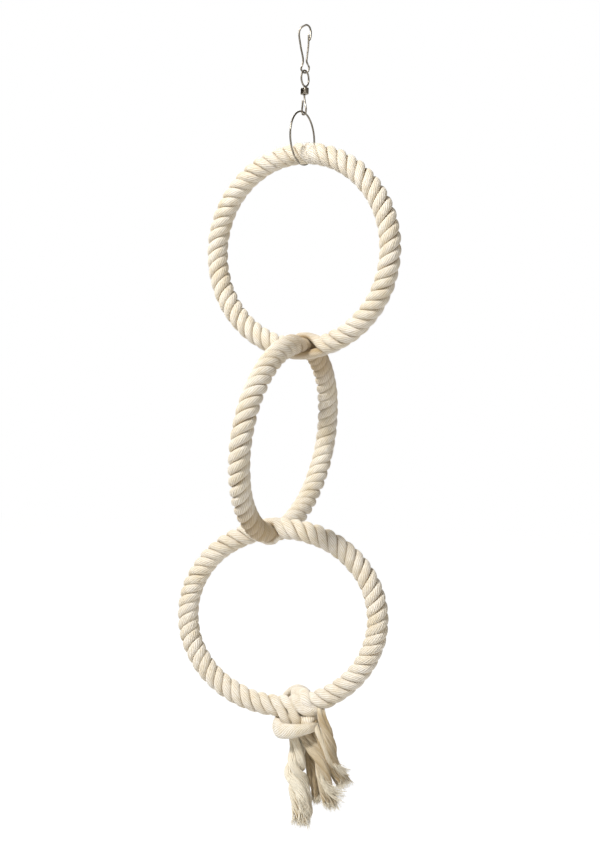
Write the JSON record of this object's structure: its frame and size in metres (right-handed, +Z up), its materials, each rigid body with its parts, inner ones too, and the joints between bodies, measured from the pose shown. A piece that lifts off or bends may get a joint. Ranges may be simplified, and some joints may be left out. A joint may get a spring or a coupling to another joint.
{
  "type": "hanging rope ring perch",
  "caption": "Chain of upright rope rings threaded through each other, ending in a knot with frayed tails, hung from a wire ring, a box swivel and a wire snap hook.",
  "frame": {"origin": "inner top of the snap hook's loop, where the bar or wire that carries the toy lies", "axes": "+Z up along the hanging chain, +X to the right and +Y to the back of the pictured view; the snap hook lies in the X-Z plane"},
  "size_m": [0.128, 0.1179, 0.4811],
  "materials": {
    "nickel_wire": "bright nickel-plated wire, slightly worn",
    "nickel_strip": "bright nickel-plated bent strip",
    "cotton_rope": "natural cream cotton, laid in three strands, matt",
    "core_wire": "plain bendable steel wire"
  },
  "bodies": {
    "hook": {"hook_wire": "nickel_wire"},
    "gate": {"hook_gate": "nickel_wire"},
    "upper_eye": {"swivel_upper_eye": "nickel_wire"},
    "swivel_body": {"swivel_box": "nickel_strip"},
    "lower_eye": {"swivel_lower_eye": "nickel_wire"},
    "hanger": {"hanger_ring": "nickel_wire"},
    "top_ring": {"ring_top_rope": "cotton_rope", "ring_top_core": "core_wire"},
    "middle_ring": {"ring_middle_rope": "cotton_rope", "ring_middle_core": "core_wire"},
    "bottom_ring": {"ring_bottom_rope": "cotton_rope", "ring_bottom_core": "core_wire", "knot_band": "cotton_rope", "tail_left": "cotton_rope", "tail_front": "cotton_rope", "tail_right": "cotton_rope", "tail_back": "cotton_rope"}
  },
  "joints": [
    {"name": "gate_flex", "type": "hinge", "parent": "hook", "child": "gate", "pos_m": [0.00148, 0, -0.02343], "axis": [0, -1, 0], "range_deg": [0, 12], "stiffness_Nm_per_rad": 0.01},
    {"name": "hook_swing", "type": "hinge", "parent": "hook", "child": "upper_eye", "pos_m": [0, 0, -0.0282], "axis": [1, 0, 0], "range_deg": [-25, 25]},
    {"name": "swivel_turn_upper", "type": "hinge", "parent": "upper_eye", "child": "swivel_body", "pos_m": [0, 0, -0.0392], "axis": [0, 0, 1], "continuous": true},
    {"name": "swivel_turn_lower", "type": "hinge", "parent": "swivel_body", "child": "lower_eye", "pos_m": [0, 0, -0.0392], "axis": [0, 0, 1], "continuous": true},
    {"name": "hanger_swing", "type": "hinge", "parent": "lower_eye", "child": "hanger", "pos_m": [0, 0, -0.05335], "axis": [0.6429, -0.7659, 0], "range_deg": [-25, 25]},
    {"name": "top_ring_swing", "type": "hinge", "parent": "hanger", "child": "top_ring", "pos_m": [-0.0007, -0.0014, -0.0833], "axis": [0.46, 0.8879, 0], "range_deg": [-20, 20]},
    {"name": "middle_ring_swing", "type": "hinge", "parent": "top_ring", "child": "middle_ring", "pos_m": [0.0027, 0.0053, -0.1908], "axis": [0.4289, 0.9033, 0], "range_deg": [-20, 20]},
    {"name": "bottom_ring_swing", "type": "hinge", "parent": "middle_ring", "child": "bottom_ring", "pos_m": [-0.011, 0.0118, -0.3058], "axis": [0.4289, 0.9033, 0], "range_deg": [-20, 20]}
  ]
}
